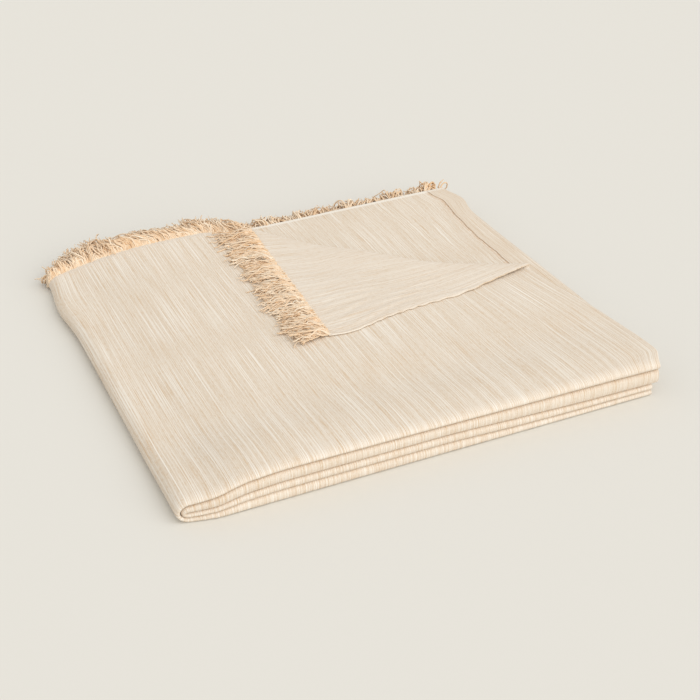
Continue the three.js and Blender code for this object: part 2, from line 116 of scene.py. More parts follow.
@dataclass(frozen=True)
class FoldedPack:
    """The settled form of the folded cloth: sizes, outline and the heights of its eight layers.

    Places are in the even pack, before its corners are drawn in. A reach or a spread says how far a
    form runs, a pitch how far apart its waves are over tau, and the tables run along x.
    """

    cloth: float = 0.0022
    layer: float = 0.0059
    right: float = 0.328
    right_lower: float = 0.320
    widest: float = 0.33633
    left_axis: float = -0.310
    left_end: float = -0.330
    left_depth: float = 0.70
    front_wraps: tuple[float, ...] = (0.0145, 0.0096, 0.0079, 0.0036)
    wraps_reach: float = 0.050
    front: float = -0.290
    back_fold: float = 0.304
    first_end: float = 0.308
    second_end: float = 0.298
    front_slope: float = -0.015
    front_corner: float = 0.010
    front_corner_reach: float = 0.060
    back_corner: float = -0.008
    back_corner_reach: float = 0.050
    bulge: float = 0.007
    bulge_y: float = 0.228
    bulge_spread: float = 0.052
    bulge_reach: float = 0.070
    nose: float = 0.006
    top_nose: float = 0.013
    blunt: float = 0.6
    back_nose: float = 0.0024
    back_pinch: float = 0.0022
    back_pinch_reach: float = 0.016
    crease_gap: float = 0.0003
    crease_reach: float = 0.095
    # Where the painted shade of the creases reaches: its full and gone depths behind the front, and the
    # fold turns between which it grows.
    crease_depths: tuple[float, float] = (0.006, 0.024)
    crease_turns: tuple[float, float] = (0.5, 0.95)
    fold_length: float = 0.0165
    nose_reach: float = 0.028
    wave: float = 0.0012
    wave_pitch: tuple[float, float] = (0.074, 0.105)
    ripple_share: float = 0.35
    ripple_pitch: tuple[float, float] = (0.031, 0.047)
    ripple_skew: tuple[float, float] = (0.055, 0.09)
    inside: float = 0.0435
    thin_at_back: float = 0.96
    thin_from: float = -0.060
    bead_from: float = -0.150
    bead_to: float = -0.262
    trough: float = 0.0006
    trough_y: float = -0.200
    trough_reach: float = 0.030
    trough_middle: float = 0.01
    trough_spread: float = 0.16
    trough_at_sides: float = 0.55
    uneven: float = 0.0006
    uneven_pitch: tuple[float, float] = (0.061, 0.083)
    front_right: float = 0.014
    front_right_reach: float = 0.090
    front_right_depth: float = 0.032
    back_right: float = 0.011
    back_right_y: float = 0.252
    back_right_spread: float = 0.030
    back_right_reach: float = 0.110
    thickness: Table = Table((-0.325, -0.285, -0.240, -0.190, -0.060), (0.58, 0.66, 0.84, 0.95, 1.0))
    third: Table = Table(
        (-0.325, -0.285, -0.240, -0.190, 0.0, 0.110, 0.220, 0.330),
        (0.0055, 0.0080, 0.0130, 0.0145, 0.0140, 0.0100, 0.0085, 0.0085),
    )
    second: Table = Table(
        (-0.325, -0.285, -0.240, -0.190, 0.0, 0.110, 0.220, 0.330),
        (0.0115, 0.0150, 0.0230, 0.0255, 0.0255, 0.0215, 0.0175, 0.0160),
    )
    first: Table = Table(
        (-0.325, -0.285, -0.240, -0.190, 0.0, 0.110, 0.220, 0.330),
        (0.0185, 0.0270, 0.0380, 0.0410, 0.0400, 0.0385, 0.0375, 0.0360),
    )
    top: Table = Table(
        (-0.325, -0.285, -0.240, -0.190, 0.0, 0.110, 0.220, 0.330),
        (0.0285, 0.0360, 0.0475, 0.0510, 0.0505, 0.0500, 0.0500, 0.0490),
    )

    def sheet_thickness(self, x: Array) -> Array:
        """How thick the cloth is: it is pressed thinner where the pack is thin."""
        return self.cloth * self.thickness.at(x)

    def placed(self, x: Array, y: Array) -> tuple[Array, Array]:
        """Where a point of the even pack lies, seen from above.

        The front runs a little askew, both left corners and the front right one are drawn in, and
        both sides bulge out near the back.

        Args:
            x: places in the even pack.
            y: places in the even pack.

        Returns:
            The settled x and y.
        """
        at_left = 1 - smoothstep(x, self.left_end, self.left_end + self.front_corner_reach)
        front = self.front_corner * at_left + self.front_slope * x
        back = self.back_corner * (1 - smoothstep(x, self.left_end, self.left_end + self.back_corner_reach))
        askew = lerp(front, back, smoothstep(y, self.front, self.first_end))
        fading = 1 - smoothstep(x, self.left_end, self.left_end + self.bulge_reach)
        left = self.bulge * fading * bell(y, self.bulge_y, self.bulge_spread)
        at_right = smoothstep(x, self.right - self.back_right_reach, self.right)
        right = self.back_right * at_right * bell(y, self.back_right_y, self.back_right_spread)
        at_corner = smoothstep(x, self.right - self.front_right_reach, self.right)
        near_front = 1 - smoothstep(y, self.front, self.front + self.front_right_depth)
        rounded = self.front_right * at_corner * near_front
        return x - left + right - rounded, y + askew

    def levels(self, x: Array, y: Array) -> Array:
        """Heights of the middle of the cloth in the eight layers, from the lowest up.

        Inside the pack they are evenly spaced under its settled top, but for a soft wave of each. The
        top layer rises out of a shallow trough into a bead along the front. Towards the front the
        layers run over to the creases between the four rolls, where those of neighbouring rolls meet,
        and at the back the layers of each fold are pressed together.

        Args:
            x: places in the even pack.
            y: places in the even pack.

        Returns:
            The heights, with the layers along the first axis.
        """
        share = self.thickness.at(x)
        cloth = self.cloth * share
        thinner = lerp(1, self.thin_at_back, smoothstep(y, self.thin_from, self.first_end))
        wave = self.wave * np.sin(x / self.wave_pitch[0] + 0.6) * np.cos(y / self.wave_pitch[1] - 0.4)
        ripple = self.ripple_share * self.wave
        ripple = ripple * np.sin(x / self.ripple_pitch[0] + y / self.ripple_skew[0] + 1.3)
        ripple = ripple * np.sin(y / self.ripple_pitch[1] - x / self.ripple_skew[1])
        deeper = lerp(self.trough_at_sides, 1, bell(x, self.trough_middle, self.trough_spread))
        trough = self.trough * deeper * share * bell(y, self.trough_y, self.trough_reach)
        full = share * self.inside * thinner + wave + ripple - trough
        inner = np.stack([lerp(cloth / 2, full - cloth / 2, level / 7) for level in range(8)])
        for level in range(1, 7):
            sway_x = np.sin(x / self.uneven_pitch[0] + 2.1 * level)
            sway_y = np.cos(y / self.uneven_pitch[1] + 1.7 * level)
            inner[level] += self.uneven * (sway_x * sway_y)
        half = (cloth + self.crease_gap) / 2
        creases = [crease.at(x) for crease in (self.third, self.second, self.first)]
        edge = np.stack(
            [cloth / 2]
            + [crease + side * half for crease in creases for side in (-1, 1)]
            + [self.top.at(x) - cloth / 2]
        )
        heights = lerp(inner, edge, 1 - smoothstep(y, self.front, self.front + self.crease_reach))
        heights[7] = lerp(edge[7], inner[7], smoothstep(y, self.bead_to, self.bead_from))
        pressed = bell(y, self.back_fold, self.back_pinch_reach)
        for low, high in ((1, 2), (5, 6)):
            middle = (heights[low] + heights[high]) / 2
            half_gap = (cloth + self.back_pinch) / 2
            heights[low] = lerp(heights[low], middle - half_gap, pressed)
            heights[high] = lerp(heights[high], middle + half_gap, pressed)
        return heights


@dataclass(frozen=True)
class TurnedCorner:
    """The back right corner of the top layer, bent over the crest and laid down towards the left."""

    crest: Table = Table(
        (-0.016, 0.051, 0.096, 0.178, 0.274, 0.306),
        (0.277, 0.186, 0.147, 0.067, 0.017, 0.004),
    )
    tip: tuple[float, float] = (-0.036, -0.052)
    radius: float = 0.0034
    lift: float = 0.0025
    settle: float = 0.35
    drawn_reach: float = 0.240
    edge_drop: Table = Table(
        (0.0, 0.20, 0.38, 0.57, 0.71, 0.90, 1.0),
        (0.0, 0.004, 0.009, 0.005, 0.003, 0.008, 0.0),
    )
    frill: float = 0.0013
    frills: float = 15.0
    frill_reach: float = 0.06
    ripple: float = 0.0005
    ripple_pitch: float = 0.017
    ripple_fade: tuple[float, float] = (0.03, 0.2)
    wander: float = 9.0

    @property
    def width(self) -> float:
        """How far across the cloth the crest runs."""
        return self.crest.places[-1] - self.crest.places[0]

    @property
    def outward(self) -> Array:
        """The direction off the crest, away from the turned cloth."""
        dx, dy = self.width, self.crest.values[0] - self.crest.values[-1]
        return unit(np.array([dy, dx]))

    def crest_at(self, share: Array) -> Array:
        """Points of the crest in plan, from the selvedge (0) to the fringed end (1)."""
        x = lerp(self.crest.places[-1], self.crest.places[0], share)
        return np.stack([x, self.crest.at(x)], axis=-1)


@dataclass(frozen=True)
class Border:
    """The strip of the second layer that is turned over along its selvedge, seen behind the corner."""

    widths: Table = Table(
        (-0.060, 0.020, 0.090, 0.160, 0.234, 0.302),
        (0.038, 0.038, 0.036, 0.033, 0.030, 0.031),
    )
    raised: float = 0.3
    waver: float = 0.0006
    waver_pitches: tuple[float, float] = (0.0061, 0.019)
    # How high the border must stand for the painted shadow along its step to be full.
    step_shadow_height: float = 0.0004
    hem_height: float = 0.0002
    step: float = 0.0005
    columns: int = 7
    fade: tuple[float, float] = (-0.120, -0.060)
    back_fade: tuple[float, float] = (0.290, 0.303)

    def height(self, y: Array, thickness: Array) -> Array:
        """How far the strip stands over the layer it lies on, a share of the cloth's thickness."""
        shown = smoothstep(y, *self.fade) * (1 - smoothstep(y, *self.back_fade))
        return shown * (self.raised * thickness)

    def moved(self, y: Array) -> Array:
        """How far the strip's edge wavers: two sines of different pitch along it."""
        short, long = self.waver_pitches
        return self.waver * (np.sin(y / short) + 1.6 * np.sin(y / long + 1))


@dataclass
class Surface:
    """A surface in the middle of a cloth, with values at each of its points.

    Attributes:
        points: the points, n x 3.
        quads: their numbers, four to a face.
        flat: their places on the flat cloth, n x 2.
        extra: how much thicker the cloth is there, on its under side.
        marks: what the weave's colour follows, each 0 to 1.
    """

    points: Array
    quads: Array
    flat: Array
    extra: Array
    marks: dict[str, Array]


def make_mesh(
    name: str, points: Array, faces: list[Array], shading: Mapping[str, Array]
) -> bpy.types.Object:
    """Makes an object of quads and triangles, smoothly shaded.

    Args:
        name: the piece's name.
        points: its vertices, n x 3.
        faces: arrays of corner numbers, each k x 3 or k x 4.
        shading: values at the vertices: n x 2 becomes a UV map and n a number attribute.

    Returns:
        The object, linked to the scene at the origin.
    """
    mesh = bpy.data.meshes.new(name)
    corners = np.concatenate([part.ravel() for part in faces]).astype(np.int32)
    sizes = np.concatenate([np.full(len(part), part.shape[1]) for part in faces])
    starts = np.concatenate([[0], np.cumsum(sizes)[:-1]]).astype(np.int32)
    mesh.vertices.add(len(points))
    mesh.vertices.foreach_set("co", points.astype(np.float32).ravel())
    mesh.loops.add(len(corners))
    mesh.loops.foreach_set("vertex_index", corners)
    mesh.polygons.add(len(sizes))
    mesh.polygons.foreach_set("loop_start", starts)
    mesh.polygons.foreach_set("use_smooth", np.ones(len(sizes), bool))
    for key, values in shading.items():
        if values.ndim == 2:
            layer = mesh.uv_layers.new(name=key)
            layer.data.foreach_set("uv", values[corners].astype(np.float32).ravel())
        else:
            attribute = mesh.attributes.new(key, "FLOAT", "POINT")
            attribute.data.foreach_set("value", values.astype(np.float32))
    mesh.update(calc_edges=True)
    mesh.validate()
    piece = bpy.data.objects.new(name, mesh)
    bpy.context.scene.collection.objects.link(piece)
    return piece


@dataclass
class ThrowCloth:
    """The whole cloth, from its first fringed end to its second, as one folded sheet."""

    pack: FoldedPack
    corner: TurnedCorner
    border: Border
    origin: Array
    crest_steps: int = 64
    upper_steps: int = 46
    turn_steps: int = 16
    lower_steps: int = 40
    fold_steps: int = 12
    layer_steps: tuple[int, ...] = (68, 54, 22, 22)
    corner_steps: int = 60
    crowding: float = 1.6
    ease: float = 0.85
    crest_fade: float = 0.25
    middle_level: float = 3.5
    rim: float = 0.8
    # Where the painted highlight on the back fold and the white heading at the cut end lie.
    highlight_turn: float = 1.5
    highlight_from: float = 0.99
    bright_cut: float = 0.004
    # How strong the painted step shadow is one column past the border's edge.
    step_shadow_fade: float = 0.5
    surface: Surface = field(init=False)
    edges: dict[str, tuple[Array, Array]] = field(init=False)

    def columns(self) -> dict[str, Array]:
        """The grid's columns, which run along the cloth's length.

        Returns:
            For each column, its x in the even pack, its angle round the left fold (0 in the upper half
            and pi in the lower), its share of the upper half past the crest, its share of the crest,
            and its flat place.
        """
        pack, corner = self.pack, self.corner
        crest_end = corner.crest.places[0]
        crest = np.linspace(0, 1, self.crest_steps + 1)
        upper = np.linspace(0, 1, self.upper_steps + 1)[1:]
        turn = np.linspace(0, math.pi, self.turn_steps + 1)[1:-1]
        lower = np.linspace(0, 1, self.lower_steps + 1)
        x = np.concatenate([
            lerp(pack.right, crest_end, crest),
            lerp(crest_end, pack.left_axis, upper),
            np.full(len(turn), pack.left_axis),
            lerp(pack.left_axis, pack.right_lower, lower),
        ])
        angle = np.concatenate([np.zeros(len(crest) + len(upper)), turn, np.full(len(lower), math.pi)])
        beside = np.concatenate([np.zeros(len(crest)), upper, np.ones(len(turn) + len(lower))])
        share = np.concatenate([crest, np.ones(len(upper) + len(turn) + len(lower))])
        round_fold = 2 * pack.left_depth * pack.layer * math.pi
        flat = np.where(angle > 0, pack.right - pack.left_axis, pack.right - x)
        flat = flat + round_fold * angle / math.pi + np.where(angle >= math.pi, x - pack.left_axis, 0)
        return {"x": x, "angle": angle, "beside": beside, "share": share, "flat": flat}

    def rows(self) -> dict[str, Array]:
        """The grid's rows, which run across the cloth, closer together near the folds.

        Returns:
            For each row, the layer that it lies on or folds away from (0 to 3), its share of that
            layer, and its angle round the fold, which is 0 on a layer.
        """
        found = {"layer": [], "share": [], "angle": []}
        for i, steps in enumerate(self.layer_steps):
            even = np.linspace(0, 1, steps + 1)
            s_curve = even - self.ease * np.sin(math.tau * even) / math.tau
            spacing = {0: 1 - (1 - even) ** self.crowding, 3: even**self.crowding}.get(i, s_curve)
            found["layer"].append(np.full(len(spacing), i))
            found["share"].append(spacing)
            found["angle"].append(np.zeros(len(spacing)))
            if i < 3:
                turn = np.linspace(0, math.pi, self.fold_steps + 1)[1:-1]
                found["layer"].append(np.full(len(turn), i))
                found["share"].append(np.ones(len(turn)))
                found["angle"].append(turn)
        return {key: np.concatenate(parts) for key, parts in found.items()}

    def on_layer(self, layer: int) -> Array:
        """Which rows lie on this layer, and not in a fold."""
        rows = self.rows()
        return (rows["layer"] == layer) & (rows["angle"] == 0)

    def places_along(self) -> tuple[Array, Array]:
        """Where the grid's points lie from front to back.

        A row on a layer runs between the folds at its two ends. A row in a fold goes round half an
        ellipse, blunted by a power of its sine, from one layer to the next.

        Returns:
            Each point's y in the even pack, and its place along the flat cloth.
        """
        pack, corner, columns, rows = self.pack, self.corner, self.columns(), self.rows()
        share, angle = rows["share"][:, None], rows["angle"][:, None]
        turn = columns["angle"][None, :]
        half_cloth = pack.cloth / 2
        up = (1 + np.cos(turn)) / 2
        noses = [
            lerp(pack.nose, pack.top_nose, up),
            np.full_like(turn, pack.back_nose),
            np.full_like(turn, pack.nose),
        ]
        fronts = [pack.front + half_cloth + noses[0], pack.front + half_cloth + noses[2]]
        back = np.full_like(turn, pack.back_fold - half_cloth - pack.back_nose)
        under_crest = (corner.crest_at(columns["share"]) - corner.radius * corner.outward)[:, 1]
        past_crest = smoothstep(columns["beside"], 0, self.crest_fade)
        start = lerp(under_crest, pack.first_end, past_crest)[None, :]
        ends = [start, fronts[0], back, fronts[1], np.full_like(turn, pack.second_end)]
        y = np.zeros((len(share), turn.shape[1]))
        along = np.zeros_like(y)
        flat_from = 0.0
        for i in range(4):
            on_layer = self.on_layer(i)
            y[on_layer] = lerp(ends[i], ends[i + 1], share[on_layer])
            layer_start = pack.first_end if i == 0 else float(np.mean(ends[i]))
            length = abs(float(np.mean(ends[i + 1])) - layer_start)
            along[on_layer] = flat_from + length * share[on_layer]
            if i == 0:
                along[on_layer] = pack.first_end - y[on_layer]
            flat_from += length
            if i < 3:
                in_fold = (rows["layer"] == i) & (rows["angle"] > 0)
                side = -1 if i % 2 == 0 else 1
                round_over = (i == 0) & (angle[in_fold] < math.pi / 2) & (up > 0.5)
                power = np.where(round_over | (i == 1), 1, pack.blunt)
                y[in_fold] = ends[i + 1] + side * noses[i] * np.sin(angle[in_fold]) ** power
                along[in_fold] = flat_from + pack.fold_length * angle[in_fold] / math.pi
                flat_from += pack.fold_length
        return y, along

    def places_across(self, y: Array) -> Array:
        """Where the grid's points lie from left to right in the even pack.

        The first layer's columns run to the crest of the turned corner, and one of the second layer's
        follows the border. A column in the left fold goes round half an ellipse, from a layer of the
        upper half to the same layer of the lower half, and an inner layer's ellipse is shorter.

        Args:
            y: the points' places from front to back.

        Returns:
            Each point's x.
        """
        pack, corner, columns, rows = self.pack, self.corner, self.columns(), self.rows()
        x = np.broadcast_to(columns["x"][None, :], y.shape).copy()
        crest = corner.crest_at(columns["share"])[None]
        drawn = smoothstep((y - pack.front) / np.maximum(crest[..., 1] - pack.front, 1e-6), 0, 1)
        drawn = drawn * smoothstep(y - crest[..., 1], -corner.drawn_reach, 0)
        to_crest = (crest - corner.radius * corner.outward)[..., 0] - columns["x"][None, :]
        is_crest = (columns["beside"] == 0)[None, :]
        x += np.where(self.on_layer(0)[:, None] & is_crest, drawn * to_crest, 0)
        second_layer = self.on_layer(1)
        x[second_layer] = self.with_border(x[second_layer], y[second_layer])
        layer, angle = rows["layer"][:, None], rows["angle"][:, None]
        over = layer + np.where(angle > 0, (1 - np.cos(angle)) / 2, 0)
        even_wrap = pack.left_depth * pack.layer * (self.middle_level - over)
        front_wrap = np.interp(over, np.arange(4), pack.front_wraps)
        wrap = lerp(front_wrap, even_wrap, smoothstep(y, pack.front, pack.front + pack.wraps_reach))
        return x - wrap * np.sin(columns["angle"][None, :])

    def heights(self, x: Array, y: Array) -> Array:
        """How high the grid's points lie: each on its layer, or between two of them in a fold.

        Args:
            x: the points' places from left to right.
            y: their places from front to back.

        Returns:
            Each point's z.
        """
        rows, levels = self.rows(), self.pack.levels(x, y)
        layer, turned = rows["layer"][:, None], (1 - np.cos(rows["angle"][:, None])) / 2
        upper = lerp(self.picked(levels, 7 - layer), self.picked(levels, 6 - layer), turned)
        lower = lerp(self.picked(levels, layer), self.picked(levels, layer + 1), turned)
        return lerp(lower, upper, (1 + np.cos(self.columns()["angle"][None, :])) / 2)

    def folded_grid(self) -> tuple[Array, Array, Array, Array]:
        """Every point of the grid in the settled pack.

        Returns:
            The points (rows x columns x 3), their flat places (rows x columns x 2), how near each
            lies to the front, 0 to 1, and the extra thickness of the turned border.
        """
        pack = self.pack
        y, along = self.places_along()
        x = self.places_across(y)
        z = self.heights(x, y)
        extra = np.zeros_like(y)
        second_layer, strip = self.on_layer(1), slice(0, self.border.columns + 1)
        thickness = pack.sheet_thickness(x)
        extra[second_layer, strip] = self.border.height(y, thickness)[second_layer, strip]
        # Near the front: the mask of the front rolls' painted light and of their stronger stripes.
        nose = 1 - smoothstep(y, pack.front, pack.front + pack.nose_reach)
        flat = np.stack([np.broadcast_to(self.columns()["flat"][None, :], y.shape), along], axis=-1)
        return np.stack([*pack.placed(x, y), z], axis=-1), flat, nose, extra

    @staticmethod
    def picked(levels: Array, number: Array) -> Array:
        """The height at each point of the layer with this number."""
        return np.take_along_axis(levels, np.broadcast_to(number, levels.shape[1:])[None], axis=0)[0]

    def marks(self, y: Array, extra: Array) -> dict[str, Array]:
        """What the weave's colour follows on the folded grid.

        Args:
            y: settled places along the cloth.
            extra: the extra thickness of the turned border.

        Returns:
            Each 0 to 1: the painted shadow along the border's turned edge, the painted highlight on the
                back
            fold's rim together with the white heading at the cut end, the painted shade in the creases
            between the front rolls, and the hem, which is the border.
        """
        rows, edge = self.rows(), self.border.columns
        # Painted shadow along the turned border's step: full at its edge columns, weaker one column
        # further.
        step_shadow = np.zeros_like(extra)
        step_shadow[:, edge] = smoothstep(extra[:, edge], 0, self.border.step_shadow_height)
        step_shadow[:, edge + 1] = step_shadow[:, edge]
        step_shadow[:, edge + 2] = step_shadow[:, edge] * self.step_shadow_fade
        # Painted highlight on the back fold's rim, and the white heading at the cut end.
        second_layer = rows["layer"] == 1
        back_fold = second_layer & (rows["angle"] > 0) & (rows["angle"] < self.highlight_turn)
        back_fold |= second_layer & (rows["share"] > self.highlight_from) & (rows["angle"] == 0)
        cut_end = (rows["layer"] == 0) & (rows["share"] < self.bright_cut)
        highlight_and_heading = np.broadcast_to((back_fold | cut_end)[:, None], extra.shape) * 1.0
        hem = smoothstep(extra, 0, self.border.hem_height)
        return {"step_shadow": step_shadow, "highlight_and_heading": highlight_and_heading, "crease": self.creases(y), "hem": hem}

    def creases(self, y: Array) -> Array:
        """How near each point lies to a crease between two front rolls, 0 to 1: the mask of the painted
        shade there.
        """
        rows, turn = self.rows(), self.columns()["angle"][None, :]
        layer, angle = rows["layer"][:, None], rows["angle"][:, None]
        full, gone = self.pack.crease_depths
        on_layer = 1 - smoothstep(y, self.pack.front + full, self.pack.front + gone)
        in_fold = smoothstep(np.abs(np.cos(angle)), *self.pack.crease_turns) * (layer != 1)
        outside = (layer == 0) & (angle < math.pi / 2) & (turn < math.pi / 2)
        return np.where(outside, 0, np.where(angle > 0, in_fold, on_layer))

    def with_border(self, x: Array, y: Array) -> Array:
        """Moves the second layer's columns so that one of them follows the turned border's edge.

        Args:
            x: even places of the layer's points.
            y: their places along the cloth.

        Returns:
            The moved places.
        """
        pack, count = self.pack, self.border.columns
        width = self.border.widths.at(y[:, :1]) + self.border.moved(y[:, :1])
        total = pack.right - self.corner.crest.places[0]
        number = np.arange(x.shape[1])[None, :]
        step = self.border.step
        inside = (width - 2 * step) * number / (count - 1)
        past = lerp(width + 2 * step, total, (number - count - 2) / (self.crest_steps - count - 2))
        offset = np.where(number < count, inside, past)
        offset = np.where(number == count, width - step / 2, offset)
        offset = np.where(number == count + 1, width, offset)
        return np.where(number < self.crest_steps, pack.right - offset, x)

    def turned_grid(self) -> tuple[Array, Array, Array]:
        """The corner past the crest: round the bend, and then flat over the top layer to its tip.

        A row at depth d lies that share of the way from the crest's chord to the tip, and keeps
        (1 - d) squared of the crest's bow.

        Returns:
            The points (rows x columns x 3), their flat places, and how far each is turned over.
        """
        share = np.linspace(0, 1, self.crest_steps + 1)[None, :]
        bend = np.linspace(0, math.pi, self.fold_steps + 1)[1:]
        depth = np.linspace(0, 1, self.corner_steps + 1)[1:-1]
        angle = np.concatenate([bend, np.full(len(depth), math.pi)])[:, None]
        depth = np.concatenate([np.zeros(len(bend)), depth])[:, None]
        return self.turned_points(share, angle, depth)

    def turned_points(self, share: Array, angle: Array, depth: Array) -> tuple[Array, Array, Array]:
        """Points of the turned corner.

        Args:
            share: from the selvedge (0) to the fringed end (1).
            angle: round the bend, up to pi.
            depth: from the crest (0) to the tip (1).

        Returns:
            The points, their flat places, and how far each is turned over.
        """
        pack, corner = self.pack, self.corner
        crest = corner.crest_at(share[0])
        chord = lerp(crest[:1], crest[-1:], share[0][:, None]) if share.size > 1 else crest
        bow = (crest - chord)[None] * ((1 - depth) ** 2)[..., None]
        place = lerp((chord - corner.radius * corner.outward)[None], np.array(corner.tip), depth[..., None])
        bend_out = corner.radius * np.sin(angle) * np.ones_like(share)
        place = place + bow + bend_out[..., None] * corner.outward
        wandering = np.sin(corner.wander * depth)
        frill = corner.frill * np.sin(depth * math.tau * corner.frills + 4 * wandering)
        place[..., 1] -= corner.edge_drop.at(depth) * (1 - share) ** 2
        place[..., 1] += frill * np.sin(math.pi * depth) * smoothstep(share, corner.frill_reach, 0)
        x, y = place[..., 0], place[..., 1]
        flat_s = share * (1 - depth) * (pack.right - corner.crest.places[0])
        ripple = corner.ripple * np.sin(math.tau * flat_s / corner.ripple_pitch + 3 * wandering)
        ripple = ripple * smoothstep(depth, *corner.ripple_fade)
        ripple = ripple * (0.6 + 0.4 * np.sin(23 * share + 5 * depth))
        bend = corner.radius * (1 - np.cos(angle))
        lift = lerp(bend, corner.lift + corner.ripple, smoothstep(depth, 0, corner.settle)) + ripple
        z = pack.levels(x, y)[7] + lift
        placed_x, placed_y = pack.placed(x, y)
        start = pack.first_end - (crest[:, 1] - corner.radius * corner.outward[1])
        flat_v = start[None, :] * (1 - depth) - corner.radius * angle * (1 - depth)
        flat = np.stack(np.broadcast_arrays(flat_s, flat_v), axis=-1)
        paler = smoothstep(angle, math.pi / 2, math.pi) * np.ones_like(x)
        return np.stack([placed_x, placed_y, z], axis=-1), flat, paler

    def build_surface(self) -> None:
        """Joins the folded grid and the turned corner into one surface, and notes its fringed edges."""
        folded, flat, nose, extra = self.folded_grid()
        turned, turned_flat, paler = self.turned_grid()
        rows, columns = folded.shape[:2]
        number = np.arange(rows * columns).reshape(rows, columns)
        crest = self.crest_steps + 1
        turned_number = rows * columns + np.arange(turned.shape[0] * crest).reshape(-1, crest)
        over = np.concatenate([number[:1, :crest], turned_number])
        tip_number = turned_number.max() + 1
        one = np.ones((1, 1))
        tip, tip_flat, tip_paler = self.turned_points(one, math.pi * one, one)
        quads = np.concatenate([self.grid_quads(number), self.grid_quads(over[::-1])])
        last = over[-1]
        fan = np.stack([np.full(crest - 1, tip_number), last[1:], last[:-1], last[:-1]], axis=1)
        quads = np.concatenate([quads, fan])
        zeros = np.zeros(turned.shape[0] * crest + 1)
        marks = {"paler": np.concatenate([np.zeros(rows * columns), paler.ravel(), tip_paler.ravel()])}
        for key, values in {"nose": nose, **self.marks(folded[..., 1], extra)}.items():
            marks[key] = np.concatenate([values.ravel(), zeros])
        self.surface = Surface(
            points=np.concatenate([folded.reshape(-1, 3), turned.reshape(-1, 3), tip.reshape(-1, 3)]),
            quads=quads,
            flat=np.concatenate([flat.reshape(-1, 2), turned_flat.reshape(-1, 2), tip_flat.reshape(-1, 2)]),
            extra=np.concatenate([extra.ravel(), zeros]),
            marks=marks,
        )
        middle = self.crest_steps + self.upper_steps + self.turn_steps // 2
        over_end = over[self.fold_steps:, -1]
        over_inside = over[self.fold_steps:, -2]
        self.edges = {
            "corner": (np.append(over_end, tip_number), np.append(over_inside, last[0])),
            "top": (number[0, self.crest_steps : middle + 1], number[1, self.crest_steps : middle + 1]),
            "bottom": (number[0, middle:], number[1, middle:]),
            "inner": (number[-1], number[-2]),
        }

    @staticmethod
    def grid_quads(number: Array) -> Array:
        """The quads between the rows and columns of a grid of vertex numbers."""
        a, b, c, d = number[:-1, :-1], number[:-1, 1:], number[1:, 1:], number[1:, :-1]
        return np.stack([a, b, c, d], axis=-1).reshape(-1, 4)

    def build(self) -> bpy.types.Object:
        """Gives the surface its thickness and closes it along its edges.

        Each side is the surface moved half the cloth's thickness along its normals, and a rounded rim
        with one row of points in the middle joins them.

        Returns:
            The piece.
        """
        self.build_surface()
        surface = self.surface
        points, quads = surface.points, surface.quads
        a, b, c, d = (points[quads[:, corner]] for corner in range(4))
        diagonals = np.cross(c - a, d - b)
        normals = np.zeros_like(points)
        for corner in range(4):
            np.add.at(normals, quads[:, corner], diagonals)
        normals = unit(normals)
        half = self.pack.sheet_thickness(points[:, 0])[:, None] / 2
        upper = points + normals * half
        under = points - normals * (half + surface.extra[:, None])
        count = len(points)
        rim = self.rim_edges(quads)
        outward = np.zeros_like(points)
        direction = np.cross(unit(points[rim[:, 1]] - points[rim[:, 0]]), normals[rim[:, 0]])
        np.add.at(outward, rim[:, 0], direction)
        np.add.at(outward, rim[:, 1], direction)
        rim_points = np.unique(rim)
        bulge = unit(outward[rim_points]) * half[rim_points] * self.rim
        middle = (upper + under)[rim_points] / 2 + bulge
        middle_of = np.zeros(count, int)
        middle_of[rim_points] = 2 * count + np.arange(len(rim_points))
        a, b = rim[:, 0], rim[:, 1]
        faces = np.concatenate([
            quads,
            quads[:, ::-1] + count,
            np.stack([b, a, middle_of[a], middle_of[b]], axis=1),
            np.stack([middle_of[b], middle_of[a], a + count, b + count], axis=1),
        ])
        triangle = (faces[:, 2] == faces[:, 3]) | (faces[:, 0] == faces[:, 1])
        doubled = faces[triangle]
        triangles = np.where(doubled[:, :1] == doubled[:, 1:2], doubled[:, 1:], doubled[:, :3])
        shading = {
            key: np.concatenate([values, values, values[rim_points]])
            for key, values in {"weave": surface.flat, **surface.marks}.items()
        }
        whole = np.concatenate([upper, under, middle]) + self.origin
        return make_mesh("woven_cloth", whole, [faces[~triangle], triangles], shading)

    @staticmethod
    def rim_edges(quads: Array) -> Array:
        """The surface's outer edges, each in the direction in which its face goes round."""
        edges = np.concatenate([quads[:, [i, (i + 1) % 4]] for i in range(4)])
        edges = edges[edges[:, 0] != edges[:, 1]]
        size = edges.max() + 1
        forward = edges[:, 0] * size + edges[:, 1]
        backward = edges[:, 1] * size + edges[:, 0]
        return edges[~np.isin(forward, backward)]

    def flat_size(self) -> tuple[float, float]:
        """The cloth's flat width and length."""
        return float(np.ptp(self.surface.flat[:, 0])), float(np.ptp(self.surface.flat[:, 1]))


class Lie(Enum):
    """What the yarns of a fringe lie on."""

    PACK = "the top of the pack"
    AIR = "nothing, they hang off the back"
    FLOOR = "the floor"


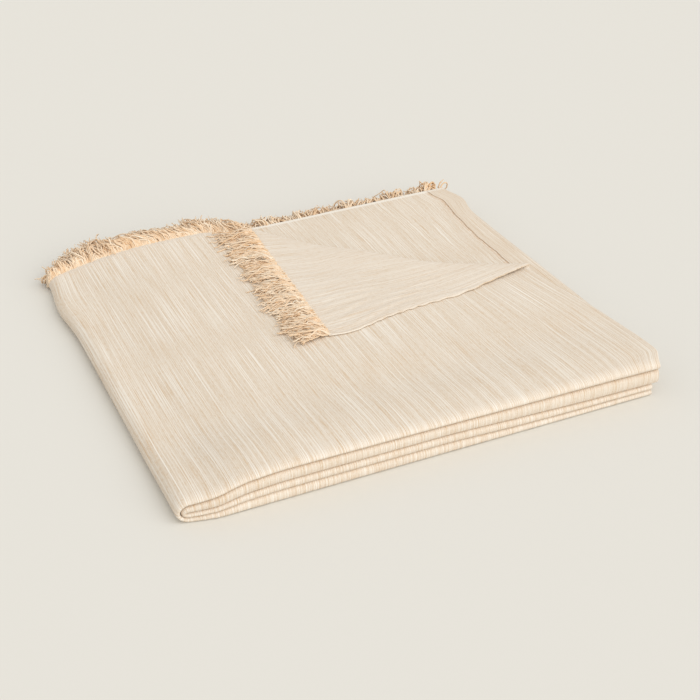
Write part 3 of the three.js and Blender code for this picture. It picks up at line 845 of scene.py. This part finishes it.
@dataclass(frozen=True)
class YarnFringe:
    """A fringe of curly cut yarns along one edge of the cloth.

    Attributes:
        name: the piece's name.
        node: the CAD node that it replaces.
        edge: the edge of the cloth that it hangs from.
        lie: what its yarns lie on.
        yarns: how many there are.
        seed: of its random draws.
        lean: how far the yarns lean along the edge, over how far they stand off it.
        lean_spread: how unevenly they lean.
        end_lean: their lean towards the edge's end.
        rise: how far they arch up.
        droop: how far their tips hang.
        curl: the radius of their helix at the tip.
        waves: the fewest and the most turns of a yarn.
        start_curl: how much more those at the edge's start curl and rise.
        ends: the length of the yarns at the edge's start and end, over the others'.
        length: a yarn's length, drawn straight.
        reach: how much of that it stretches to.
        uneven: how unevenly long the yarns are.
        radius: a yarn's radius.
        lock: the width of the locks that lean and rise together.
        clump: how far a lock's roots are drawn together.
        inset: how deep in the cloth the yarns start.
        lean_fade: where along the edge the lean changes, as shares of it.
        start_fade: where the length changes near the start.
        end_fade: where the length changes near the end.
        start_width: how far from the start the yarns curl more.
        lean_in: the share of a yarn in which it turns to its lean.
        ragged: how much a yarn's lean differs from its lock's.
        phase_spread: how far the locks' helices are turned against each other.
        curl_spread: the least and the most that a yarn curls, over the others.
        curl_growth: the power by which its helix widens.
        wave_drift: how unevenly its turns are spaced.
        rises: what every yarn rises, and what its lock and its own draw add, over the rise.
        arch: how much sooner than its tip a yarn's arch comes down.
        droop_growth: the power by which it droops.
        heap: how high the yarns lie on each other, over their radius.
        settled: how much less a yarn's tip arches on the pack.
        lift_in: the share of a yarn in which it is lifted onto the pack.
        back_fade: where behind the pack's edge the yarns begin to hang, and hang fully.
        back_drop: how far yarns on the pack may hang down behind it.
        thick_spread: a yarn's least and greatest radius, over the radius.
        taper: how much thinner a yarn's tip is.
        cap: the length of its closed ends.
        puff_from: above this height the fringe is pressed down softly.
        puff: the most that it can stand over that height.
        tone_lock: how many neighbouring yarns share a part of their tone.
        tone_shares: a yarn's own part of its tone, and the shared part.
        steps: rings along a yarn.
        sides: corners round a yarn.
    """

    name: str
    node: str
    edge: str
    lie: Lie
    yarns: int
    seed: int
    lean: float = 0.0
    lean_spread: float = 0.25
    end_lean: float = 0.0
    rise: float = 0.005
    droop: float = 0.004
    curl: float = 0.0022
    waves: tuple[float, float] = (1.4, 3.2)
    start_curl: float = 0.0
    ends: tuple[float, float] = (1.0, 1.0)
    length: float = 0.050
    reach: float = 0.88
    uneven: float = 0.12
    radius: float = 0.0009
    lock: float = 0.009
    clump: float = 0.0
    inset: float = 0.002
    lean_fade: tuple[float, float] = (0.45, 0.9)
    start_fade: tuple[float, float] = (0.04, 0.13)
    end_fade: tuple[float, float] = (0.82, 0.93)
    start_width: float = 0.014
    lean_in: float = 0.35
    ragged: float = 0.6
    phase_spread: float = 1.5
    curl_spread: tuple[float, float] = (0.5, 1.4)
    curl_growth: float = 0.6
    wave_drift: float = 0.25
    rises: tuple[float, float, float] = (0.7, 0.6, 0.5)
    arch: float = 1.15
    droop_growth: float = 1.7
    heap: float = 1.6
    settled: float = 0.4
    lift_in: float = 0.7
    back_fade: tuple[float, float] = (-0.004, 0.020)
    back_drop: float = 0.012
    thick_spread: tuple[float, float] = (0.75, 1.25)
    taper: float = 0.35
    cap: float = 0.0004
    puff_from: float = 0.047
    puff: float = 0.0105
    tone_lock: int = 14
    tone_shares: tuple[float, float] = (0.55, 0.45)
    steps: int = 16
    sides: int = 5

    def edge_frames(self, cloth: ThrowCloth, share: Array) -> dict[str, Array]:
        """Places along the edge, with the directions along it and off it.

        Args:
            cloth: the built cloth, for its edges.
            share: how far along the edge each place lies, 0 to 1.

        Returns:
            The places, the two directions at each, and the edge's length.
        """
        ids, inside = cloth.edges[self.edge]
        points = cloth.surface.points
        place = points[ids]
        along = unit(np.gradient(place, axis=0))
        off = place - points[inside]
        off = unit(off - along * np.sum(off * along, axis=1, keepdims=True))
        length = np.concatenate([[0], np.cumsum(np.linalg.norm(np.diff(place, axis=0), axis=1))])

        def read(values: Array) -> Array:
            """The values at the wanted places, between those at the edge's points."""
            wanted = share * length[-1]
            return np.stack([np.interp(wanted, length, values[:, axis]) for axis in range(3)], axis=1)

        along, off = unit(read(along)), unit(read(off))
        return {"place": read(place), "along": along, "off": off, "length": length[-1]}

    def roots(self, cloth: ThrowCloth, rng: np.random.Generator) -> tuple[Array, Array, dict[str, Array]]:
        """Where the yarns start, in locks whose roots are drawn together.

        Args:
            cloth: the built cloth, for its edges.
            rng: the fringe's random draws.

        Returns:
            How far along the edge each starts, 0 to 1, its lock's number, and the edge there.
        """
        n = self.yarns
        where = np.clip((np.arange(n) + rng.uniform(-0.5, 1.5, n)) / n, 0.001, 0.999)
        length = self.edge_frames(cloth, where)["length"]
        lock = np.floor(where * length / self.lock + rng.uniform(-0.3, 0.3, n)).astype(int)
        middle = np.clip((lock + 0.5) * self.lock / length, 0.001, 0.999)
        where = lerp(where, middle, self.clump)
        return where, lock, self.edge_frames(cloth, where)

    def paths(self, cloth: ThrowCloth) -> Array:
        """The middle lines of all the yarns.

        A yarn leaves the edge, leans to one side with its lock, rises a little and droops, and winds
        round that line in a loose helix that widens away from its root. It stays over what it lies on.

        Args:
            cloth: the built cloth, for its edges.

        Returns:
            The points, yarns x steps x 3, in the pack frame.
        """
        rng = np.random.default_rng(self.seed)
        n = self.yarns
        where, lock, edge = self.roots(cloth, rng)
        lock_lean, lock_rise, lock_phase, lock_reach = rng.uniform(-1, 1, (4, lock.max() + 2))
        t = np.linspace(0, 1, self.steps)[None, :]
        lean = lerp(self.lean, self.end_lean, smoothstep(where, *self.lean_fade))
        lean = lean + self.lean_spread * (lock_lean[lock] + self.ragged * rng.normal(0, 1, n))
        at_start = 1 + self.start_curl * bell(where * edge["length"], 0, self.start_width)
        at_end = lerp(1, self.ends[1], smoothstep(where, *self.end_fade))
        at_end = at_end * lerp(self.ends[0], 1, smoothstep(where, *self.start_fade))
        longer = 1 + self.uneven * (lock_reach[lock] + rng.normal(0, 1, n))
        reach = self.length * self.reach * at_end * longer
        direction = unit(edge["off"] + lean[:, None] * edge["along"])
        turned = smoothstep(t, 0, self.lean_in)[..., None]
        heading = lerp(edge["off"][:, None], direction[:, None], turned)
        line = edge["place"][:, None] - self.inset * edge["off"][:, None]
        line = line + heading * (t * reach[:, None])[..., None]
        waves = rng.uniform(*self.waves, n)[:, None]
        phase = (math.tau * rng.uniform(0, 1, n) + self.phase_spread * lock_phase[lock])[:, None]
        curl = self.curl * (at_start * at_end * rng.uniform(*self.curl_spread, n))[:, None]
        swing = curl * t**self.curl_growth
        turn = phase + math.tau * waves * t * (1 + self.wave_drift * rng.normal(0, 1, n)[:, None] * t)
        line = line + edge["along"][:, None] * (swing * np.cos(turn))[..., None]
        every, by_lock, by_yarn = self.rises
        share = every + by_lock * lock_rise[lock] + by_yarn * rng.normal(0, 1, n)
        arch = self.rise * (at_start * share)[:, None] * np.sin(math.pi * np.minimum(t * self.arch, 1))
        line[..., 2] += arch - self.droop * t**self.droop_growth + swing * np.sin(turn)
        return self.laid(line, cloth, rng)

    def laid(self, line: Array, cloth: ThrowCloth, rng: np.random.Generator) -> Array:
        """Lifts the yarns onto what they lie on, those further up in the heap a little higher.

        Above the fringe's puff height they are pressed down: the part above it follows a tanh curve.

        Args:
            line: the middle lines, yarns x steps x 3.
            cloth: the built cloth, for the top of its pack.
            rng: the fringe's random draws.

        Returns:
            The lifted lines.
        """
        n = len(line)
        heap = np.abs(rng.normal(0, 1, n))[:, None] * self.radius * self.heap
        if self.lie is Lie.PACK:
            top = cloth.pack.levels(line[..., 0], line[..., 1])[7] + cloth.pack.cloth / 2
            over = top + self.radius + heap
            begin, hanging = (cloth.pack.first_end + behind for behind in self.back_fade)
            over = over - self.back_drop * smoothstep(line[..., 1], begin, hanging)
            t = np.linspace(0, 1, self.steps)[None, :]
            wanted = over + np.maximum(line[..., 2] - line[:, :1, 2], 0) * (1 - self.settled * t)
            line[..., 2] = np.maximum(lerp(line[..., 2], wanted, smoothstep(t, 0, self.lift_in)), over)
        over = np.maximum(line[..., 2] - self.puff_from, 0)
        line[..., 2] += self.puff * np.tanh(over / self.puff) - over
        floor = self.radius + (heap if self.lie is Lie.FLOOR else heap * 0.5)
        line[..., 2] = np.maximum(line[..., 2], floor)
        return line

    def build(self, cloth: ThrowCloth) -> bpy.types.Object:
        """Carries a small polygon along every yarn's line and closes its ends.

        The polygon's first axis is carried along by taking out of it, at each step, what points along
        the yarn. The polygon shrinks towards the tip.

        Args:
            cloth: the built cloth, for its edges.

        Returns:
            The joined piece.
        """
        rng = np.random.default_rng(self.seed + 1000)
        line = self.paths(cloth)
        n, steps, sides = self.yarns, self.steps, self.sides
        tangent = unit(np.gradient(line, axis=1))
        first = np.zeros_like(line)
        axis = np.cross(tangent[:, 0], np.array([0.2, 0.3, 1.0]))
        for step in range(steps):
            axis = unit(axis - tangent[:, step] * np.sum(axis * tangent[:, step], axis=1, keepdims=True))
            first[:, step] = axis
        second = np.cross(tangent, first)
        t = np.linspace(0, 1, steps)
        radius = self.radius * rng.uniform(*self.thick_spread, n)[:, None]
        radius = radius * (1 - self.taper * t**3)[None, :]
        around = math.tau * np.arange(sides) / sides
        ring = first[:, :, None] * np.cos(around)[:, None]
        ring = ring + second[:, :, None] * np.sin(around)[:, None]
        tube = line[:, :, None] + ring * radius[:, :, None, None]
        ends = np.stack([line[:, 0], line[:, -1]], axis=1)
        ends = ends + self.cap * np.stack([-tangent[:, 0], tangent[:, -1]], axis=1)
        number = np.arange(n * steps * sides).reshape(n, steps, sides)
        after = np.roll(number, -1, axis=2)
        quads = np.stack([number[:, :-1], after[:, :-1], after[:, 1:], number[:, 1:]], axis=-1)
        quads = quads.reshape(-1, 4)
        poles = n * steps * sides + np.arange(2 * n).reshape(n, 2)
        root = np.broadcast_to(poles[:, :1], (n, sides))
        tip = np.broadcast_to(poles[:, 1:], (n, sides))
        caps = np.concatenate([
            np.stack([root, after[:, 0], number[:, 0]], axis=-1).reshape(-1, 3),
            np.stack([tip, number[:, -1], after[:, -1]], axis=-1).reshape(-1, 3),
        ])
        points = np.concatenate([tube.reshape(-1, 3), ends.reshape(-1, 3)]) + cloth.origin
        along = np.broadcast_to(t[None, :, None] * self.length, number.shape)
        wound = np.broadcast_to(np.abs(2 * np.arange(sides) / sides - 1)[None, None, :], number.shape)
        uv = np.stack([wound.ravel(), along.ravel()], axis=1)
        uv = np.concatenate([uv, np.tile([[0.5, 0.0], [0.5, self.length]], (n, 1))])
        lock = np.arange(n) // self.tone_lock
        own, shared = self.tone_shares
        tone = own * rng.uniform(0, 1, n) + shared * rng.uniform(0, 1, n)[lock]
        tones = np.concatenate([np.repeat(tone, steps * sides), np.repeat(tone, 2)])
        return make_mesh(self.name, points, [quads, caps], {"yarn": uv, "tone": tones})


class Link:
    """A socket's value. Arithmetic on it adds Math nodes to its tree."""

    def __init__(self, finish: Finish, socket: bpy.types.NodeSocket) -> None:
        """Keeps the socket and the finish that owns its tree."""
        self.finish, self.socket = finish, socket

    def _math(self, operation: str, *values: Link | float) -> Link:
        """A Math node with this operation on these values."""
        return self.finish.node("ShaderNodeMath", {"operation": operation}, dict(enumerate(values)))

    def __add__(self, other: Link | float) -> Link:
        """The sum."""
        return self._math("ADD", self, other)

    def __sub__(self, other: Link | float) -> Link:
        """The difference."""
        return self._math("SUBTRACT", self, other)

    def __rsub__(self, other: float) -> Link:
        """The difference from a number."""
        return self._math("SUBTRACT", other, self)

    def __mul__(self, other: Link | float) -> Link:
        """The product."""
        return self._math("MULTIPLY", self, other)

    __radd__, __rmul__ = __add__, __mul__

    def between(self, low: float, high: float) -> Link:
        """0 at low and 1 at high, smooth between them and level outside."""
        return self.finish.node(
            "ShaderNodeMapRange",
            {"interpolation_type": "SMOOTHSTEP"},
            {"Value": self, "From Min": low, "From Max": high},
        )


Colour = tuple[float, float, float]


def tone(red: float, green: float, blue: float) -> Colour:
    """A colour from its values on a screen, 0 to 255, as the renderer's linear values."""

    def linear(value: float) -> float:
        """One value by the screen's own curve: straight near black, and a power of 2.4 above."""
        share = value / 255
        return share / 12.92 if share <= 0.04045 else ((share + 0.055) / 1.055) ** 2.4

    return linear(red), linear(green), linear(blue)


@dataclass(frozen=True)
class Grain:
    """A soft noise: its features to the metre across and along a UV map, its seed and its detail."""

    across: float
    along: float
    seed: float
    detail: float = 0.0


class Finish:
    """A material under construction, with one method for every kind of node."""

    def __init__(self, name: str) -> None:
        """Starts an empty node tree."""
        self.material = bpy.data.materials.new(name)
        self.material.use_nodes = True
        self.tree = self.material.node_tree
        self.tree.nodes.clear()

    def node(self, kind: str, settings: Mapping, inputs: Mapping, output: int | str = 0) -> Link:
        """Adds a node.

        Args:
            kind: the node's type.
            settings: its own settings, which are set first.
            inputs: a value or a link for each socket, by name or number.
            output: the socket to hand back.

        Returns:
            That output.
        """
        node = self.tree.nodes.new(kind)
        for key, value in settings.items():
            setattr(node, key, value)
        for key, value in inputs.items():
            if isinstance(value, Link):
                self.tree.links.new(value.socket, node.inputs[key])
            else:
                node.inputs[key].default_value = value
        return Link(self, node.outputs[output])

    def mixed(self, share: Link | float, low: Link | Colour, high: Link | Colour) -> Link:
        """A colour this share of the way from low to high, by a Mix node's three colour sockets."""
        low, high = (colour if isinstance(colour, Link) else (*colour, 1) for colour in (low, high))
        settings = {"data_type": "RGBA", "clamp_factor": True}
        return self.node("ShaderNodeMix", settings, {0: share, 6: low, 7: high}, 2)

    def noise(self, place: Link, grain: Grain) -> Link:
        """The grain's noise on this UV map, which is scaled and moved to the seed's own place."""
        inputs = {0: place, 1: (grain.across, grain.along, 1), 2: (grain.seed, grain.seed * 1.7, 0)}
        moved = self.node("ShaderNodeVectorMath", {"operation": "MULTIPLY_ADD"}, inputs)
        inputs = {"Vector": moved, "Scale": 1.0, "Detail": grain.detail}
        return self.node("ShaderNodeTexNoise", {"noise_dimensions": "2D"}, inputs)

    def relief(self, height: Link) -> Link:
        """A normal that follows this height in metres."""
        return self.node("ShaderNodeBump", {}, {"Strength": 1.0, "Distance": 1.0, "Height": height})

    def map(self, name: str) -> Link:
        """The piece's UV map of this name."""
        return self.node("ShaderNodeUVMap", {"uv_map": name}, {})

    def attribute(self, name: str) -> Link:
        """The piece's number attribute of this name."""
        return self.node("ShaderNodeAttribute", {"attribute_name": name}, {}, "Fac")

    def dress(self, piece: bpy.types.Object, inputs: Mapping) -> None:
        """Ends the tree in one Principled shader with these inputs, and gives it to the piece."""
        shader = self.node("ShaderNodeBsdfPrincipled", {}, inputs)
        out = self.tree.nodes.new("ShaderNodeOutputMaterial")
        self.tree.links.new(shader.socket, out.inputs["Surface"])
        piece.data.materials.clear()
        piece.data.materials.append(self.material)


@dataclass(frozen=True)
class WovenFinish:
    """Slub weave: fine uneven cream and beige stripes along the cloth's length.

    The rib and the weft are the heights of its relief, along the stripes and across them. A share
    says how much of its colour a stripe, a rim or a crease takes on, and a contrast how much more
    the stripes show there. The rims' white is a painted highlight on the back fold and the white
    heading at the cut end, the brown of the creases and of the border's step is painted shade, and
    the front rolls' lighter colour is painted light.
    """

    cream: Colour = tone(218, 203, 183)
    white: Colour = tone(238, 231, 219)
    beige: Colour = tone(206, 179, 146)
    pale: Colour = tone(222, 208, 190)
    # Painted light: the front rolls' colour, a little lighter than the cream.
    rolls_painted_light: Colour = tone(222, 206, 186)
    # Painted shade: the brown of the creases between the rolls and of the border's step.
    painted_shade_brown: Colour = tone(206, 158, 108)
    light_stripes: Grain = Grain(960, 6, 3.1)
    broad_light_stripes: Grain = Grain(720, 9, 61.3)
    dark_stripes: Grain = Grain(760, 10, 11.7)
    dashes: Grain = Grain(620, 120, 23.9, 1.0)
    patches: Grain = Grain(110, 30, 41.3, 1.0)
    wefts: Grain = Grain(650, 1100, 5.3)
    white_share: float = 0.62
    beige_share: float = 0.55
    dash_share: float = 0.45
    weft_share: float = 0.30
    # Shares of the painted highlight and heading, of the painted crease shade, of the hem's beige and of
    # the painted step shadow.
    highlight_and_heading_share: float = 0.8
    crease_painted_shade_share: float = 0.10
    hem_share: float = 0.15
    step_shadow_share: float = 0.8
    # How much more the stripes show on the rolls: partly the weft spreading at the folds, partly painted
    # shade of the ribs.
    rolls_contrast: float = 0.3
    corner_contrast: float = -0.2
    roughness: float = 0.92
    sheen: float = 0.12
    sheen_roughness: float = 0.5
    specular: float = 0.25
    rib: float = 0.00022
    weft: float = 0.00010

    def colour(self, finish: Finish, place: Link, light: Link, dark: Link, weft: Link) -> Link:
        """The cloth's colour.

        A stripe shows where its noise passes a threshold. The front rolls are painted lighter, as
        painted light, and their stripes are stronger, partly for the weft spreading at the folds and
        partly as painted shade of the ribs. The stripes are weaker on the turned corner, whose other
        side is paler. Painted shade browns the creases and the border's step, and a painted highlight
        whitens the back fold's rim.

        Args:
            finish: the material.
            place: the cloth's flat places.
            light: the noise of the light stripes.
            dark: the noise of the dark stripes.
            weft: the noise of the weft.

        Returns:
            The colour.
        """
        broad, dashes, patches = (
            finish.noise(place, grain) for grain in (self.broad_light_stripes, self.dashes, self.patches)
        )
        nose, paler = finish.attribute("nose"), finish.attribute("paler")
        # The stripes show more on the front rolls, partly for the weft spreading at the folds and partly as
        # painted shade of the ribs.
        contrast = 1.0 + nose * self.rolls_contrast + paler * self.corner_contrast
        lights = (light.between(0.52, 0.72) + broad.between(0.60, 0.78) * 0.6) * contrast
        darks = dark.between(0.54, 0.78) * (0.45 + patches.between(0.35, 0.65)) * contrast
        colour = finish.mixed(paler, self.cream, self.pale)
        layers = (
            # Painted light: the front rolls are mixed to a lighter colour at their noses.
            (nose, self.rolls_painted_light),
            (darks * self.beige_share, self.beige),
            (dashes.between(0.48, 0.72) * self.dash_share, self.beige),
            (lights * self.white_share, self.white),
            (weft.between(0.45, 0.8) * self.weft_share, self.white),
            # Painted highlight on the back fold's rim, and the white heading at the cut end.
            (finish.attribute("highlight_and_heading") * self.highlight_and_heading_share, self.white),
            # Painted shade in the creases between the front rolls.
            (finish.attribute("crease") * self.crease_painted_shade_share, self.painted_shade_brown),
            (finish.attribute("hem") * self.hem_share, self.beige),
            # Painted shadow, brown, along the step at the border's edge, broken by the dashes.
            (finish.attribute("step_shadow") * dashes.between(0.3, 0.6) * self.step_shadow_share, self.painted_shade_brown),
        )
        for share, over in layers:
            colour = finish.mixed(share, colour, over)
        return colour

    def dress(self, piece: bpy.types.Object) -> None:
        """Gives the piece its weave: stripes by noise stretched along the cloth, and a finer weft."""
        finish = Finish("slub_weave")
        place = finish.map("weave")
        light, dark, weft = (
            finish.noise(place, grain) for grain in (self.light_stripes, self.dark_stripes, self.wefts)
        )
        inputs = {
            "Base Color": self.colour(finish, place, light, dark, weft),
            "Roughness": self.roughness,
            "Sheen Weight": self.sheen,
            "Sheen Roughness": self.sheen_roughness,
            "Specular IOR Level": self.specular,
            "Normal": finish.relief((light + dark) * self.rib + weft * self.weft),
        }
        finish.dress(piece, inputs)


@dataclass(frozen=True)
class YarnFinish:
    """Loose cotton yarn, warmer than the cloth and uneven from one yarn to the next."""

    light: Colour = tone(246, 234, 214)
    warm: Colour = tone(220, 178, 129)
    mottle: Grain = Grain(2.0, 160, 7.7, 2.0)
    plies: Grain = Grain(3.0, 900, 1.9, 1.0)
    roughness: float = 0.9
    sheen: float = 0.15
    specular: float = 0.25
    ply: float = 0.0003
    tone_share: float = 0.75
    mottle_share: float = 0.5
    darker: float = 0.12

    def dress(self, piece: bpy.types.Object) -> None:
        """Gives the piece its yarn: a tone for each, mottled along it, with its ply as a fine relief."""
        finish = Finish("cut_yarn")
        place = finish.map("yarn")
        tone_part = finish.attribute("tone") * self.tone_share
        share = tone_part + finish.noise(place, self.mottle) * self.mottle_share - self.darker
        inputs = {
            "Base Color": finish.mixed(share, self.warm, self.light),
            "Roughness": self.roughness,
            "Sheen Weight": self.sheen,
            "Specular IOR Level": self.specular,
            "Normal": finish.relief(finish.noise(place, self.plies) * self.ply),
        }
        finish.dress(piece, inputs)


@dataclass(frozen=True)
class Studio:
    """The camera, the plain floor and the soft light."""

    lens: float = 63.4
    sensor: float = 36.0
    clip: tuple[float, float] = (0.05, 60.0)
    pitch: float = math.radians(57.4)
    yaw: float = math.radians(-25.4)
    place: tuple[float, float, float] = (-0.601, -1.3045, 0.902)
    floor: Colour = tone(222, 219, 211)
    floor_half: float = 12.0
    floor_roughness: float = 0.9
    floor_specular: float = 0.1
    sky: Colour = (1.0, 0.99, 0.975)
    sky_strength: float = 0.675
    sun_strength: float = 1.95
    sun_angle: float = math.radians(80)
    sun_elevation: float = math.radians(43)
    sun_azimuth: float = math.radians(-70)

    def camera(self, origin: Array) -> None:
        """Stands the camera where the photograph was taken from."""
        data = bpy.data.cameras.new("camera")
        data.lens, data.sensor_width = self.lens, self.sensor
        data.clip_start, data.clip_end = self.clip
        camera = bpy.data.objects.new("camera", data)
        camera.location = np.array(self.place) + origin
        camera.rotation_euler = (self.pitch, 0, self.yaw)
        bpy.context.scene.collection.objects.link(camera)
        bpy.context.scene.camera = camera

    def ground(self) -> None:
        """Lays the floor as one large plain square."""
        corners = np.array([[-1, -1, 0], [1, -1, 0], [1, 1, 0], [-1, 1, 0]], float)
        floor = make_mesh("floor", corners * self.floor_half, [np.array([[0, 1, 2, 3]])], {})
        inputs = {
            "Base Color": (*self.floor, 1),
            "Roughness": self.floor_roughness,
            "Specular IOR Level": self.floor_specular,
        }
        Finish("plain_floor").dress(floor, inputs)

    def light(self) -> None:
        """Lights the throw with an even sky and a broad soft light from the front on the right."""
        world = bpy.data.worlds.new("sky")
        world.use_nodes = True
        background = world.node_tree.nodes["Background"]
        background.inputs["Color"].default_value = (*self.sky, 1)
        background.inputs["Strength"].default_value = self.sky_strength
        bpy.context.scene.world = world
        data = bpy.data.lights.new("soft_light", "SUN")
        data.energy, data.angle = self.sun_strength, self.sun_angle
        lamp = bpy.data.objects.new("soft_light", data)
        lamp.rotation_euler = (math.pi / 2 - self.sun_elevation, 0, math.pi / 2 + self.sun_azimuth)
        bpy.context.scene.collection.objects.link(lamp)
        bpy.context.scene.view_settings.view_transform = "Standard"


# The four groups of the cloth's fringe, which its folds part.
FRINGES = (
    YarnFringe(
        "fringe_corner", "fringe_turned_corner", "corner", Lie.PACK, 850, 11,
        lean=-0.14, lean_spread=0.28, rise=0.0050, droop=0.0, curl=0.0028, reach=0.96,
        uneven=0.13, radius=0.00108, lock=0.0078, clump=0.40,
    ),
    YarnFringe(
        "fringe_top", "fringe_top_layer", "top", Lie.AIR, 1050, 12,
        lean=1.3, lean_spread=0.42, end_lean=0.1, rise=0.007, droop=0.0, curl=0.0032,
        ends=(1.0, 0.35), reach=1.0, uneven=0.15, radius=0.00105, lock=0.011, clump=0.22,
    ),
    YarnFringe(
        "fringe_inner", "fringe_inner_layers", "inner", Lie.AIR, 1050, 13,
        lean_spread=0.5, rise=0.010, droop=0.0, curl=0.0044, waves=(1.2, 2.4), start_curl=0.9,
        reach=0.80, uneven=0.10, radius=0.00105, lock=0.020, clump=0.6,
    ),
    YarnFringe(
        "fringe_bottom", "fringe_bottom_layer", "bottom", Lie.FLOOR, 700, 14,
        lean=0.1, lean_spread=0.3, rise=0.0, ends=(0.2, 1.0), radius=0.00105,
    ),
)


def pack_origin(pack: FoldedPack) -> Array:
    """Where the pack frame's origin lies in the row's frame, from the cloth's own box."""
    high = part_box("cloth")[1]
    return np.array([high[0] - pack.widest, high[1] - pack.first_end, 0.0])


def main() -> None:
    """Builds the throw piece by piece, and then the studio around it."""
    logging.basicConfig(level=logging.INFO, format="%(message)s")
    pack = FoldedPack()
    origin = pack_origin(pack)
    LOG.info("pack origin in the row frame: %s", origin)
    cloth = ThrowCloth(pack, TurnedCorner(), Border(), origin)
    sheet = cloth.build()
    WovenFinish().dress(sheet)
    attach(sheet, "root")
    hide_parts("cloth")
    LOG.info("woven_cloth: %d faces, flat size %s", len(sheet.data.polygons), cloth.flat_size())
    yarn = YarnFinish()
    for form in FRINGES:
        fringe = form.build(cloth)
        yarn.dress(fringe)
        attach(fringe, "root")
        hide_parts(form.node)
        LOG.info("%s: %d yarns, %d faces", form.name, form.yarns, len(fringe.data.polygons))
    studio = Studio()
    studio.camera(origin)
    studio.ground()
    studio.light()


if __name__ == "__main__":
    main()
